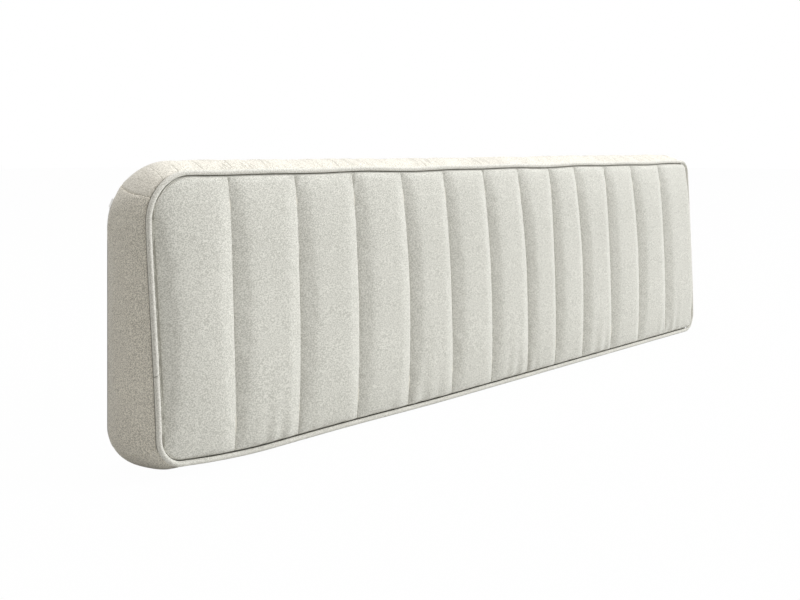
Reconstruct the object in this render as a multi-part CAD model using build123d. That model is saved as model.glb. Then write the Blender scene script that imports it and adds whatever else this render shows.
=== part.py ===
"""Channel-quilted headboard cushion for a king-size bed, in millimetres.

A zip-off upholstery cover holds a foam slab on a plywood stiffener. The front of the cover is
thirteen filled channels sewn to a lining, edged with covered piping. Boxing strips over wadding
close the four sides, and a flat back panel closes the rear. A coil zip runs down the left end and
along the bottom of the back. Bands of loop tape on the back panel hold the cushion to a wall.

X runs along the headboard, -Y is the quilted front, +Z is up. The origin is the middle of the flat
that the headboard stands on.
"""

import os
from math import atan, cos, degrees, pi, sin, sqrt

from build123d import *

# Seam outline: the line where boxing and front panel are sewn together
SEAM_LENGTH = 1930.0
SEAM_HEIGHT = 508.0
DEPTH_AT_BOTTOM = 150.0
DEPTH_AT_TOP = 128.0

# Corner radii, anticlockwise from the lower left as seen from the front
FRONT_CORNERS = (50.0, 50.0, 50.0, 85.0)
BACK_CORNERS = (60.0, 65.0, 75.0, 95.0)

# Swell of the boxing between its two seams
TOP_SWELL = 20.0
END_SWELL = 13.0
BOTTOM_SWELL = 6.5
STANDING_FLAT_CUT = 0.5

# Cloth, wadding and clearances
BOXING_CLOTH = 3.0
BACK_CLOTH = 1.8
LINING_CLOTH = 1.0
WADDING = 8.0
SOFT_GAP = 0.3
CUT_OVERRUN = 60.0

# Cross seams that join the end boxing to the top and bottom boxing
CROSS_SEAM_BELOW_TOP = 42.0
CROSS_SEAM_ABOVE_BOTTOM = 40.0

# Stiffener
BOARD_THICKNESS = 9.0

# Piping on the front seam
PIPING_RADIUS = 5.5
PIPING_CORD_RADIUS = 4.0
PIPING_CORD_GAP = 0.1
PIPING_SEAM_GAP = 0.1

# Front quilting
CHANNEL_WIDTH_SHARES = (1.06, 1.04, 1.05, 1.02, 0.94, 0.98, 0.94, 0.86, 0.84, 0.97, 1.01, 1.06, 1.24)
CHANNEL_LEVELS = 10
CHANNEL_BULGE = 14.0
CHANNEL_EDGE_BULGE = 5.0
CHANNEL_EDGE_FRONT = 2.0
FRONT_CROWN = 14.0
CROWN_RUN_ALONG = 85.0
CROWN_RUN_UP_SHARE = 0.314
PANEL_PIPING_GAP = 0.1
PANEL_BACK = 4.0
PANEL_TRIM = 3.0

# Coil zip beside the back seam
ZIP_INSET = 6.0
ZIP_SLOT = 1.4
ZIP_COIL_WIDTH = 2.3
ZIP_COIL_HEIGHT = 2.0
ZIP_TAPE_THICKNESS = 0.8
ZIP_HEM_WIDTH = 2.4
ZIP_TAPE_LAP = 1.0
ZIP_PANEL_EDGE = 12.0
ZIP_PANEL_LAP = 3.0
ZIP_TOP_BELOW_SEAM = 44.0
ZIP_END_FROM_CORNER = 40.0
ZIP_STOP_LENGTH = 6.0
ZIP_TAPE_TAIL = 3.0

# Zip slider and pull
SLIDER_LENGTH = 13.0
SLIDER_WIDTH = 8.6
SLIDER_LOWER_WIDTH = 6.4
SLIDER_PLATE = 1.1
SLIDER_GAP = 0.4
SLIDER_POST_LENGTH = 6.0
SLIDER_POST_GAP = 0.25
SLIDER_CORNER = 2.5
BRIDGE_LENGTH = 7.0
BRIDGE_WIDTH = 2.4
BRIDGE_OPENING_LENGTH = 4.6
BRIDGE_OPENING_HEIGHT = 2.6
BRIDGE_BAR = 1.0
PULL_BAR_RADIUS = 0.7
PULL_BAR_LIFT = 1.45
PULL_LENGTH = 26.0
PULL_WIDTH = 7.0
PULL_THICKNESS = 1.2
PULL_SLOT_LENGTH = 5.0
PULL_SLOT_GAP = 0.5
PULL_TIP_RADIUS = 3.0
PULL_HOLE_RADIUS = 1.6
PULL_HOLE_FROM_TIP = 4.5

# Loop tape on the back panel
LOOP_TAPE_COUNT = 5
LOOP_TAPE_WIDTH = 50.0
LOOP_TAPE_HEIGHT = 340.0
LOOP_TAPE_THICKNESS = 2.4
LOOP_TAPE_CORNER = 4.0
LOOP_TAPE_END_MARGIN = 200.0

# Places worked out from the sizes above
FLOOR = 0.0
SEAM_BOTTOM = BOTTOM_SWELL - STANDING_FLAT_CUT
SEAM_TOP = SEAM_BOTTOM + SEAM_HEIGHT
HALF_LENGTH = SEAM_LENGTH / 2
BACK = DEPTH_AT_BOTTOM / 2
FRONT_AT_BOTTOM = BACK - DEPTH_AT_BOTTOM
LEAN = degrees(atan((DEPTH_AT_BOTTOM - DEPTH_AT_TOP) / SEAM_HEIGHT))
CORE_INSET = WADDING
CORE_BACK = BACK - BOARD_THICKNESS
PANEL_INSET = PIPING_RADIUS + PANEL_PIPING_GAP
CROWN_RUN_UP = CROWN_RUN_UP_SHARE * SEAM_HEIGHT


def leaning_plane(y, lean):
    """A plane facing the front through the bottom seam line at depth y, leaning back by lean degrees."""
    up = (0, sin(lean * pi / 180), cos(lean * pi / 180))
    normal = (0, -up[2], up[1])
    return Plane(origin=(0, y, SEAM_BOTTOM), x_dir=(1, 0, 0), z_dir=normal)


FRONT_PLANE = leaning_plane(FRONT_AT_BOTTOM, LEAN)
BACK_PLANE = leaning_plane(BACK, 0)


def outline_edges(left, right, low, high, radii):
    """The edges of a rounded rectangle, anticlockwise from its lower left corner."""
    centres = (
        (left + radii[0], low + radii[0]),
        (right - radii[1], low + radii[1]),
        (right - radii[2], high - radii[2]),
        (left + radii[3], high - radii[3]),
    )
    turns = []
    for index, (centre, radius) in enumerate(zip(centres, radii)):
        turns.append(CenterArc(centre, radius, 180 + 90 * index, 90))
    edges = []
    for index, turn in enumerate(turns):
        edges += [turn, Line(turn @ 1, turns[(index + 1) % 4] @ 0)]
    return edges


def rounded(left, right, low, high, radii):
    """A rounded rectangle in the local XY of a plane, with its own radius at each corner."""
    return make_face(outline_edges(left, right, low, high, radii))


def seam_sides(inset):
    """The four sides of the seam outline, drawn in by inset."""
    return inset - HALF_LENGTH, HALF_LENGTH - inset, inset, SEAM_HEIGHT - inset


def seam_outline(inset, radii):
    """The seam outline, drawn in on every side by inset."""
    return rounded(*seam_sides(inset), [radius - inset for radius in radii])


def forward_of(plane, face, distance, start=0):
    """face, drawn in plane, pushed out along the plane's normal from start by distance."""
    return extrude(plane * Pos(0, 0, start) * face, distance, dir=plane.z_dir)


def write(name, shape):
    export_step(shape, f"parts/{name}.step")


# Boxing, wadding and core

BOXING_DEPTH_SHARES = (0, 0.25, 0.5, 0.75, 1)


def swollen_body(inset):
    """The cushion between its back seam and the piping, with its sides swollen, drawn in by inset."""
    depth = DEPTH_AT_BOTTOM - (PIPING_RADIUS + PIPING_SEAM_GAP) / cos(LEAN * pi / 180)
    sections = []
    for share in BOXING_DEPTH_SHARES:
        swell = 4 * share * (1 - share)
        flat_swell = 1 - (2 * share - 1) ** 4
        radii = []
        for back_radius, front_radius in zip(BACK_CORNERS, FRONT_CORNERS):
            radius = back_radius + (front_radius - back_radius) * share
            radii.append(radius - inset + END_SWELL * swell)
        outline = rounded(
            inset - HALF_LENGTH - END_SWELL * swell,
            HALF_LENGTH - inset + END_SWELL * swell,
            inset - BOTTOM_SWELL * flat_swell,
            SEAM_HEIGHT - inset + TOP_SWELL * swell,
            radii,
        )
        sections.append(leaning_plane(BACK - depth * share, LEAN * share) * outline)
    return loft(sections)


def core_body(inset):
    """A straight-sided block from the stiffener to the plane behind the front panel."""
    front = seam_outline(inset, FRONT_CORNERS)
    rear = seam_outline(inset, BACK_CORNERS)
    return loft(
        [leaning_plane(CORE_BACK, 0) * rear, FRONT_PLANE * Pos(0, 0, -CORE_FRONT_SETBACK) * front],
        ruled=True,
    )


LINING_BACK = PANEL_BACK + SOFT_GAP + LINING_CLOTH
CORE_FRONT_SETBACK = LINING_BACK + SOFT_GAP
CROWN_RISE_SHARES = (0, 1 / 3, 2 / 3, 1)


def crown_cap(setback):
    """The shallow dome that the front stack is built on, from setback behind the seam plane."""
    sections = []
    for share in CROWN_RISE_SHARES:
        height = FRONT_CROWN * sin(share * pi / 2) - setback
        run_share = 1 - cos(share * pi / 2)
        outline = rounded(
            CORE_INSET + CROWN_RUN_ALONG * run_share - HALF_LENGTH,
            HALF_LENGTH - CORE_INSET - CROWN_RUN_ALONG * run_share,
            CORE_INSET + CROWN_RUN_UP * run_share,
            SEAM_HEIGHT - CORE_INSET - CROWN_RUN_UP * run_share,
            [radius - CORE_INSET for radius in FRONT_CORNERS],
        )
        sections.append(FRONT_PLANE * Pos(0, 0, height) * outline)
    return loft(sections)


def build_core():
    return core_body(CORE_INSET) + crown_cap(CORE_FRONT_SETBACK)


def build_board():
    outline = seam_outline(CORE_INSET, BACK_CORNERS)
    return forward_of(BACK_PLANE, outline, BOARD_THICKNESS)


def build_lining():
    edge = forward_of(
        FRONT_PLANE, seam_outline(CORE_INSET, FRONT_CORNERS), LINING_CLOTH, -LINING_BACK
    )
    return edge + crown_cap(LINING_BACK - LINING_CLOTH) - crown_cap(LINING_BACK)


def build_wadding(inner_body):
    """Wadding round the core and the stiffener, open at the front and the back."""
    inset = CORE_INSET - SOFT_GAP
    behind = forward_of(
        BACK_PLANE,
        seam_outline(inset, BACK_CORNERS),
        CUT_OVERRUN + BOARD_THICKNESS,
        -CUT_OVERRUN,
    )
    before = forward_of(
        FRONT_PLANE,
        seam_outline(inset, FRONT_CORNERS),
        CUT_OVERRUN + CORE_FRONT_SETBACK,
        -CORE_FRONT_SETBACK,
    )
    return above_floor(inner_body - behind - core_body(inset) - before, BOXING_CLOTH)


def above_floor(shape, height):
    """What of shape is above the given height."""
    size = 2 * SEAM_LENGTH
    return shape - Pos(0, 0, height - size / 2) * Box(size, size, size)


# Boxing strips, joined by cross seams in the corners

def strip_masks():
    """Boxes that part the boxing ring into its four strips at the cross seams."""
    low = SEAM_BOTTOM + CROSS_SEAM_ABOVE_BOTTOM
    high = SEAM_TOP - CROSS_SEAM_BELOW_TOP
    size = 2 * SEAM_LENGTH
    end_box = Pos(0, 0, (low + high) / 2) * Box(size, size, high - low)
    long_box = Box(size, size, size)
    return {
        "boxing_left": Pos(-size / 2, 0, 0) * end_box,
        "boxing_right": Pos(size / 2, 0, 0) * end_box,
        "boxing_top": Pos(0, 0, high + size / 2) * long_box,
        "boxing_bottom": Pos(0, 0, low - size / 2) * long_box,
    }


# Zip run: strips along the outline, kept to the left end and the bottom

ZIP_TOP = SEAM_TOP - ZIP_TOP_BELOW_SEAM
ZIP_END = HALF_LENGTH - BACK_CORNERS[1] - ZIP_END_FROM_CORNER
ZIP_LINE = SEAM_BOTTOM + ZIP_INSET
TAPE_BACK = BACK + BACK_CLOTH
COIL_BACK = TAPE_BACK + ZIP_TAPE_THICKNESS
COIL_TOP = COIL_BACK + ZIP_COIL_HEIGHT
SLOT_OUTER = ZIP_INSET - ZIP_SLOT / 2
SLOT_INNER = ZIP_INSET + ZIP_SLOT / 2


def zip_strip(outer, inner, start, thickness, short=0):
    """A strip between two insets from the back outline, from depth start, ending short of the run."""
    flat = seam_outline(outer, BACK_CORNERS) - seam_outline(inner, BACK_CORNERS)
    kept = rounded_free_mask(ZIP_END - short, ZIP_TOP - SEAM_BOTTOM - short)
    return forward_of(BACK_PLANE, flat & kept, -thickness, BACK - start)


def rounded_free_mask(right, high):
    """A plain rectangle in the back plane that reaches well past the left end and the bottom."""
    left = -HALF_LENGTH - CUT_OVERRUN
    low = -CUT_OVERRUN
    return Pos((left + right) / 2, (low + high) / 2) * Rectangle(right - left, high - low)


def zip_stop(outer, inner, start, thickness, left_end):
    """A block over the last stretch of the run, at the left end's top or at the bottom's right end."""
    flat = seam_outline(outer, BACK_CORNERS) - seam_outline(inner, BACK_CORNERS)
    long_mask = rounded_free_mask(ZIP_END - ZIP_TAPE_TAIL, ZIP_TOP - SEAM_BOTTOM - ZIP_TAPE_TAIL)
    tail = ZIP_TAPE_TAIL + ZIP_STOP_LENGTH
    if left_end:
        short_mask = rounded_free_mask(ZIP_END, ZIP_TOP - SEAM_BOTTOM - tail)
    else:
        short_mask = rounded_free_mask(ZIP_END - tail, ZIP_TOP - SEAM_BOTTOM)
    return forward_of(BACK_PLANE, (flat & long_mask) - short_mask, -thickness, BACK - start)


def build_back_panel():
    outline = seam_outline(0, BACK_CORNERS)
    zip_zone = seam_outline(-CUT_OVERRUN, BACK_CORNERS) - seam_outline(
        ZIP_PANEL_EDGE, BACK_CORNERS
    )
    kept = outline - (zip_zone & rounded_free_mask(ZIP_END, ZIP_TOP - SEAM_BOTTOM))
    return forward_of(BACK_PLANE, kept, -BACK_CLOTH)


def build_boxing(outer_body, inner_body):
    """The four strips, with the folded hem that carries the zip's outer tape."""
    ring = above_floor(outer_body - inner_body, FLOOR)
    hem = zip_strip(0, ZIP_HEM_WIDTH, BACK, BACK_CLOTH)
    strips = {}
    for name, mask in strip_masks().items():
        strip = ring & mask
        if name in ("boxing_left", "boxing_bottom"):
            strip = strip + (hem & mask)
        strips[name] = strip
    return strips


# Quilted channels

CHANNEL_COUNT = len(CHANNEL_WIDTH_SHARES)


def channel_edges():
    """Where the channel seams run along X, with both outer edges."""
    first = PANEL_INSET - HALF_LENGTH
    per_share = -2 * first / sum(CHANNEL_WIDTH_SHARES)
    return [first + per_share * sum(CHANNEL_WIDTH_SHARES[:i]) for i in range(CHANNEL_COUNT + 1)]


def crown_at(height):
    """How far the channel seams stand out at a height above the bottom seam: a flat half ellipse."""
    share = height / SEAM_HEIGHT
    return FRONT_CROWN * 2 * sqrt(share * (1 - share))


def channel_section(left, right, height, left_is_end, right_is_end):
    """One level cut through a channel: flat behind, an arc in front."""
    crown = crown_at(height)
    seam_front = CHANNEL_EDGE_FRONT + crown
    bulge = CHANNEL_EDGE_BULGE + (CHANNEL_BULGE - CHANNEL_EDGE_BULGE) * crown / FRONT_CROWN
    left_front = CHANNEL_EDGE_FRONT if left_is_end else seam_front
    right_front = CHANNEL_EDGE_FRONT if right_is_end else seam_front
    middle = (left + right) / 2
    top = seam_front + bulge

    def at(x, out):
        return FRONT_PLANE.from_local_coords((x, height, out))

    back_left, back_right = at(left, -PANEL_BACK), at(right, -PANEL_BACK)
    front_left, front_right = at(left, left_front), at(right, right_front)
    front = ThreePointArc(front_left, at(middle, top), front_right)
    sides = [
        Line(back_left, front_left),
        front,
        Line(front_right, back_right),
        Line(back_right, back_left),
    ]
    return make_face(Wire(sides).edges())


def build_channel(index, edges, under):
    """One filled channel, hollowed behind by the lining's dome. The end ones are trimmed to the corners."""
    left_is_end, right_is_end = index == 0, index == CHANNEL_COUNT - 1
    trim = PANEL_TRIM if left_is_end or right_is_end else 0
    left = edges[index] - (trim if left_is_end else 0)
    right = edges[index + 1] + (trim if right_is_end else 0)
    low, high = PANEL_INSET - trim, SEAM_HEIGHT - PANEL_INSET + trim
    sections = []
    for level in range(CHANNEL_LEVELS + 1):
        share = (1 - cos(level / CHANNEL_LEVELS * pi)) / 2
        height = low + (high - low) * share
        sections.append(channel_section(left, right, height, left_is_end, right_is_end))
    channel = loft(sections)
    if trim:
        outline = seam_outline(PANEL_INSET, FRONT_CORNERS)
        channel = channel & forward_of(FRONT_PLANE, outline, 2 * CUT_OVERRUN, -CUT_OVERRUN)
    return channel - under


# Piping


def piping_tube(outer, inner):
    """A tube along the front seam: a turn for each corner and a straight run for each side."""
    section = Circle(outer) - Circle(inner) if inner else Circle(outer)
    tube = None
    for edge in outline_edges(*seam_sides(0), FRONT_CORNERS):
        start = FRONT_PLANE.from_local_coords(edge @ 0)
        ahead = FRONT_PLANE.from_local_coords(edge @ 0 + edge % 0) - start
        drawn = Plane(origin=start, x_dir=FRONT_PLANE.z_dir, z_dir=ahead) * section
        if edge.geom_type == GeomType.CIRCLE:
            centre = FRONT_PLANE.from_local_coords(edge.arc_center)
            piece = revolve(drawn, axis=Axis(centre, FRONT_PLANE.z_dir), revolution_arc=90)
        else:
            piece = extrude(drawn, edge.length)
        tube = tube + piece if tube else piece
    return tube


# Slider and pull, drawn about the slider's middle on the back plane

SLIDER_REST_X = ZIP_END - ZIP_TAPE_TAIL - ZIP_STOP_LENGTH - SLIDER_GAP - SLIDER_LENGTH / 2
LOWER_PLATE_TOP = TAPE_BACK - SLIDER_GAP
UPPER_PLATE_BACK = COIL_TOP + SLIDER_GAP
UPPER_PLATE_TOP = UPPER_PLATE_BACK + SLIDER_PLATE
PULL_AXIS_Y = UPPER_PLATE_TOP + PULL_BAR_LIFT


def slab(length, height, start, thickness, corner=0):
    """A plate in the back plane about the zip line's middle, from depth start."""
    flat = RectangleRounded(length, height, corner) if corner else Rectangle(length, height)
    centred = Pos(SLIDER_REST_X, ZIP_INSET) * flat
    return forward_of(BACK_PLANE, centred, -thickness, BACK - start)


def build_slider():
    lower = slab(
        SLIDER_LENGTH, SLIDER_LOWER_WIDTH, LOWER_PLATE_TOP - SLIDER_PLATE, SLIDER_PLATE, SLIDER_CORNER
    )
    upper = slab(SLIDER_LENGTH, SLIDER_WIDTH, UPPER_PLATE_BACK, SLIDER_PLATE, SLIDER_CORNER)
    post = slab(
        SLIDER_POST_LENGTH,
        ZIP_SLOT - 2 * SLIDER_POST_GAP,
        LOWER_PLATE_TOP,
        UPPER_PLATE_BACK - LOWER_PLATE_TOP,
    )
    bridge = slab(BRIDGE_LENGTH, BRIDGE_WIDTH, UPPER_PLATE_TOP, BRIDGE_OPENING_HEIGHT + BRIDGE_BAR)
    opening = slab(BRIDGE_OPENING_LENGTH, 2 * BRIDGE_WIDTH, UPPER_PLATE_TOP, BRIDGE_OPENING_HEIGHT)
    return lower + post + upper + (bridge - opening)


def build_pull():
    """The pull lies flat towards -X, with its bar under the slider's bridge."""
    reach = PULL_LENGTH
    plate_start = PULL_AXIS_Y - PULL_THICKNESS / 2
    plate = Pos(-reach / 2, 0) * Rectangle(reach, PULL_WIDTH)
    slot = Pos(-PULL_SLOT_LENGTH / 2, 0) * Rectangle(PULL_SLOT_LENGTH, BRIDGE_WIDTH + 2 * PULL_SLOT_GAP)
    hole = Pos(PULL_HOLE_FROM_TIP - reach, 0) * Circle(PULL_HOLE_RADIUS)
    tip = plate.vertices().sort_by(Axis.X)[:2]
    flat = fillet(tip, PULL_TIP_RADIUS) - slot - hole
    placed = Pos(SLIDER_REST_X, ZIP_INSET) * flat
    body = forward_of(BACK_PLANE, placed, -PULL_THICKNESS, BACK - plate_start)
    bar = Pos(SLIDER_REST_X, PULL_AXIS_Y, ZIP_LINE) * Cylinder(PULL_BAR_RADIUS, PULL_WIDTH)
    return body + bar


# Loop tape


def build_loop_tape(index):
    span = SEAM_LENGTH - 2 * LOOP_TAPE_END_MARGIN
    x = span * (index / (LOOP_TAPE_COUNT - 1)) - span / 2
    flat = Pos(x, SEAM_HEIGHT / 2) * RectangleRounded(LOOP_TAPE_WIDTH, LOOP_TAPE_HEIGHT, LOOP_TAPE_CORNER)
    return forward_of(BACK_PLANE, flat, -LOOP_TAPE_THICKNESS, -BACK_CLOTH)


def main():
    os.makedirs("parts", exist_ok=True)
    outer_body = swollen_body(0)
    inner_body = swollen_body(BOXING_CLOTH)
    write("foam_core", build_core())
    write("stiffening_board", build_board())
    write("quilt_lining", build_lining())
    write("wadding_wrap", build_wadding(swollen_body(BOXING_CLOTH + SOFT_GAP)))
    for name, strip in build_boxing(outer_body, inner_body).items():
        write(name, strip)
    write("back_panel", build_back_panel())

    edges = channel_edges()
    under = crown_cap(LINING_BACK - LINING_CLOTH - SOFT_GAP)
    for index in range(CHANNEL_COUNT):
        write(f"channel_{index + 1:02d}", build_channel(index, edges, under))

    write("piping_cover", piping_tube(PIPING_RADIUS, PIPING_CORD_RADIUS))
    write("piping_cord", piping_tube(PIPING_CORD_RADIUS - PIPING_CORD_GAP, 0))

    coil_short = ZIP_TAPE_TAIL + ZIP_STOP_LENGTH
    write("zip_tape_outer", zip_strip(ZIP_TAPE_LAP, SLOT_OUTER, TAPE_BACK, ZIP_TAPE_THICKNESS))
    write(
        "zip_tape_inner",
        zip_strip(SLOT_INNER, ZIP_PANEL_EDGE + ZIP_PANEL_LAP, TAPE_BACK, ZIP_TAPE_THICKNESS),
    )
    write(
        "zip_coil_outer",
        zip_strip(SLOT_OUTER - ZIP_COIL_WIDTH, SLOT_OUTER, COIL_BACK, ZIP_COIL_HEIGHT, coil_short),
    )
    write(
        "zip_coil_inner",
        zip_strip(SLOT_INNER, SLOT_INNER + ZIP_COIL_WIDTH, COIL_BACK, ZIP_COIL_HEIGHT, coil_short),
    )
    stop_sides = (SLOT_OUTER - ZIP_COIL_WIDTH, SLOT_INNER + ZIP_COIL_WIDTH)
    write("zip_stop_top", zip_stop(*stop_sides, COIL_BACK, ZIP_COIL_HEIGHT, True))
    write("zip_stop_end", zip_stop(*stop_sides, COIL_BACK, ZIP_COIL_HEIGHT, False))
    write("zip_slider", build_slider())
    write("zip_pull", build_pull())

    for index in range(LOOP_TAPE_COUNT):
        write(f"loop_tape_{index + 1}", build_loop_tape(index))


main()
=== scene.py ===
"""Channel-quilted headboard cushion: its cover, piping, zip and back, over the fixed model."""

from math import asin, atan2, cos, exp, hypot, pi, radians, sin, sqrt

import bmesh
import bpy
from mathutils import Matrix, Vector


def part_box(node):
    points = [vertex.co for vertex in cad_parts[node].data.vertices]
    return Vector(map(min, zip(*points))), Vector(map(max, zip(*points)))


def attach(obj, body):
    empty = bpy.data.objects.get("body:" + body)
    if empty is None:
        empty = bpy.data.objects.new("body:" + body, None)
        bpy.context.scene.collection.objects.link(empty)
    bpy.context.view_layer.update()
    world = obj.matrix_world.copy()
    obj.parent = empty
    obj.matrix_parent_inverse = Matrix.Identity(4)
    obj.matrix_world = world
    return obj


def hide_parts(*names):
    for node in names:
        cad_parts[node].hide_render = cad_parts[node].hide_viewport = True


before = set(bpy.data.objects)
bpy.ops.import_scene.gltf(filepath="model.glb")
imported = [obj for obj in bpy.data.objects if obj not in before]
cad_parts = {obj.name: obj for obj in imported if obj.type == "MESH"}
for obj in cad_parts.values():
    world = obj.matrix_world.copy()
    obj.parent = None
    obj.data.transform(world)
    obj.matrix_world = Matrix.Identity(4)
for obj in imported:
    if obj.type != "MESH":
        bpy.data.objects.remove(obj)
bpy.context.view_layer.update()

# Sizes of the model, in metres
PIPING_RADIUS = 0.0055
PANEL_INSET = 0.0056
PIPING_LOW, PIPING_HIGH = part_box("piping_cover")
HALF_LENGTH = PIPING_HIGH[0] - PIPING_RADIUS
SEAM_BOTTOM = PIPING_LOW[2] + PIPING_RADIUS
SEAM_RISE = PIPING_HIGH[2] - PIPING_LOW[2] - 2 * PIPING_RADIUS
SEAM_RUN = PIPING_HIGH[1] - PIPING_LOW[1] - 2 * PIPING_RADIUS
SEAM_HEIGHT = hypot(SEAM_RISE, SEAM_RUN)
FRONT = PIPING_LOW[1] + PIPING_RADIUS
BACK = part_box("stiffening_board")[1][1]
LEAN = atan2(SEAM_RUN, SEAM_RISE)
CHANNELS = sorted(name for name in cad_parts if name.startswith("channel_"))
CHANNEL_EDGES = [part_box(name)[0][0] for name in CHANNELS] + [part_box(CHANNELS[-1])[1][0]]

# Shape of the cover; corner radii run from the lower left, anticlockwise
FRONT_CORNERS = (0.050, 0.050, 0.032, 0.085)
BACK_CORNERS = (0.060, 0.065, 0.062, 0.095)
CROSS_SEAM_BELOW_TOP = (0.020, 0.042)
CROSS_SEAM_ABOVE_BOTTOM = (0.026, 0.040)
TOP_SWELL = 0.020
END_SWELL = 0.013
BOTTOM_SWELL = 0.010
FRONT_CROWN = 0.014
SEAM_OUT = -0.0025
EDGE_OUT = -0.005
EDGE_ROLL = 0.0034
PANEL_BACK = 0.0064
CROWN_RUN_ALONG = 0.085
CROWN_RUN_UP = 0.160
DOME_SETBACK = 0.0036
DOME_INSET = 0.008

# Photographed view
PHOTO_WIDTH, PHOTO_HEIGHT = 800, 600
CAMERA_PLACE = (-1.8869, FRONT - 1.3967, 0.549)
CAMERA_YAW = 47.34
FOCAL_PIXELS = 985
HORIZON_PIXEL = 151.9
SENSOR = 36


def on_front(x, height, out):
    """A point at x along the front panel, height up it and out from its seam plane."""
    return Vector(
        (
            x,
            FRONT + height * sin(LEAN) - out * cos(LEAN),
            SEAM_BOTTOM + height * cos(LEAN) + out * sin(LEAN),
        )
    )


# How the soft cover has settled: its left foot is drawn up and in, its right end stands taller
FOOT_LIFT = 0.012
FOOT_LIFT_FROM = -0.725
FOOT_LIFT_REACH = 0.19
SAG_LIFT = 0.004
RIGHT_TOP_RISE = 0.0045
LEFT_DRAW_IN, LEFT_SPREAD = 0.008, 0.002
RIGHT_FOOT_TUCK, RIGHT_HEAD_TUCK = 0.005, 0.002
HEAD_RIPPLE = 0.0016


def settled(x, height, share=1.0):
    """Where a point of the seam outline has settled; share is 0 at the back seam, 1 at the front."""
    up = min(1, max(0, height / SEAM_HEIGHT))
    toward_left = max(0, (FOOT_LIFT_FROM - x) / FOOT_LIFT_REACH)
    lift = FOOT_LIFT * min(1, toward_left) ** 1.7 + SAG_LIFT * smoothstep(-0.2, -0.6, x)
    lift *= 1 - smoothstep(0.02, 0.30, up)
    lift += RIGHT_TOP_RISE * smoothstep(-0.5, 0.9, x) * smoothstep(0.3, 0.95, up)
    left_end = smoothstep(-0.80, -0.96, x)
    right_end = smoothstep(0.86, 0.96, x)
    draw_in = LEFT_DRAW_IN * (1 - smoothstep(0.1, 0.8, up))
    draw_in -= LEFT_SPREAD * smoothstep(0.5, 0.9, up)
    tuck = RIGHT_FOOT_TUCK * (1 - smoothstep(0.0, 0.3, up))
    tuck += RIGHT_HEAD_TUCK * smoothstep(0.75, 1.0, up)
    ripple = HEAD_RIPPLE * sin(x * 19 + 1) * sin(x * 5 + 0.4) * smoothstep(0.9, 1.0, up)
    new_x = x + share * (left_end * draw_in - right_end * tuck)
    return new_x, height + share**2 * (lift + ripple)


# Small tools


def deselect_all():
    bpy.ops.object.select_all(action="DESELECT")


def only(piece):
    """Makes piece the one selected, active object."""
    deselect_all()
    piece.select_set(True)
    bpy.context.view_layer.objects.active = piece


def apply_modifier(piece, kind, **settings):
    only(piece)
    modifier = piece.modifiers.new(kind.title(), kind)
    for key, value in settings.items():
        setattr(modifier, key, value)
    bpy.ops.object.modifier_apply(modifier=modifier.name)


def add_object(name, data):
    """An object at the origin of the scene."""
    thing = bpy.data.objects.new(name, data)
    bpy.context.scene.collection.objects.link(thing)
    return thing


def new_piece(name, points, faces, material):
    """A mesh object made from points and faces."""
    mesh = bpy.data.meshes.new(name)
    mesh.from_pydata([tuple(p) for p in points], [], faces)
    piece = add_object(name, mesh)
    mesh.materials.append(material)
    return piece


def use_second_material(piece, material, chosen):
    """Gives the chosen faces of a piece a second material."""
    piece.data.materials.append(material)
    for index in chosen:
        piece.data.polygons[index].material_index = 1


def recalculate_normals(piece):
    shape = bmesh.new()
    shape.from_mesh(piece.data)
    bmesh.ops.recalc_face_normals(shape, faces=shape.faces)
    shape.to_mesh(piece.data)
    shape.free()


def face_back(piece, face=0):
    """Turns an open sheet so that the given face of it looks backwards."""
    if piece.data.polygons[face].normal.y < 0:
        piece.data.flip_normals()


def grid_faces(columns, rows, closed=False):
    """Faces of a grid whose points run up each column; a closed one joins its last to its first."""
    faces = []
    for column in range(columns if closed else columns - 1):
        a, b = column * rows, (column + 1) % columns * rows
        faces += [(a + row, b + row, b + row + 1, a + row + 1) for row in range(rows - 1)]
    return faces


def tube_faces(rings, sides):
    """Faces between rings of points, each of which closes on itself."""
    faces = []
    for ring in range(rings - 1):
        a, b = ring * sides, (ring + 1) * sides
        for i in range(sides):
            j = (i + 1) % sides
            faces.append((a + i, a + j, b + j, b + i))
    return faces


def smooth(piece, angle=40):
    only(piece)
    bpy.ops.object.shade_smooth_by_angle(angle=radians(angle))


def smoothstep(low, high, value):
    share = min(1, max(0, (value - low) / (high - low)))
    return share * share * (3 - 2 * share)


# Materials


def link(tree, source, target):
    tree.links.new(source, target)


def set_inputs(node, values):
    for key, value in values.items():
        node.inputs[key].default_value = value


def math_node(tree, operation, first, second=None):
    node = tree.nodes.new("ShaderNodeMath")
    node.operation = operation
    for socket, value in zip(node.inputs, (first, second)):
        if value is None:
            continue
        if isinstance(value, (int, float)):
            socket.default_value = value
        else:
            link(tree, value, socket)
    return node.outputs[0]


def object_place(tree):
    return tree.nodes.new("ShaderNodeTexCoord").outputs["Object"]


def noise_at(tree, place, scale, stretch, detail=2.0):
    """Noise whose grains are stretched along the axes by stretch."""
    mapping = tree.nodes.new("ShaderNodeMapping")
    mapping.inputs["Scale"].default_value = tuple(scale / s for s in stretch)
    link(tree, place, mapping.inputs["Vector"])
    texture = tree.nodes.new("ShaderNodeTexNoise")
    set_inputs(texture, {"Scale": 1.0, "Detail": detail})
    link(tree, mapping.outputs[0], texture.inputs["Vector"])
    return texture.outputs["Fac"]


def remapped(tree, value, low, high, to_low=0.0, to_high=1.0):
    """Value moved from the range low to high into the range to_low to to_high."""
    node = tree.nodes.new("ShaderNodeMapRange")
    for socket, number in zip(list(node.inputs)[1:5], (low, high, to_low, to_high)):
        socket.default_value = number
    link(tree, value, node.inputs["Value"])
    return node.outputs[0]


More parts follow.
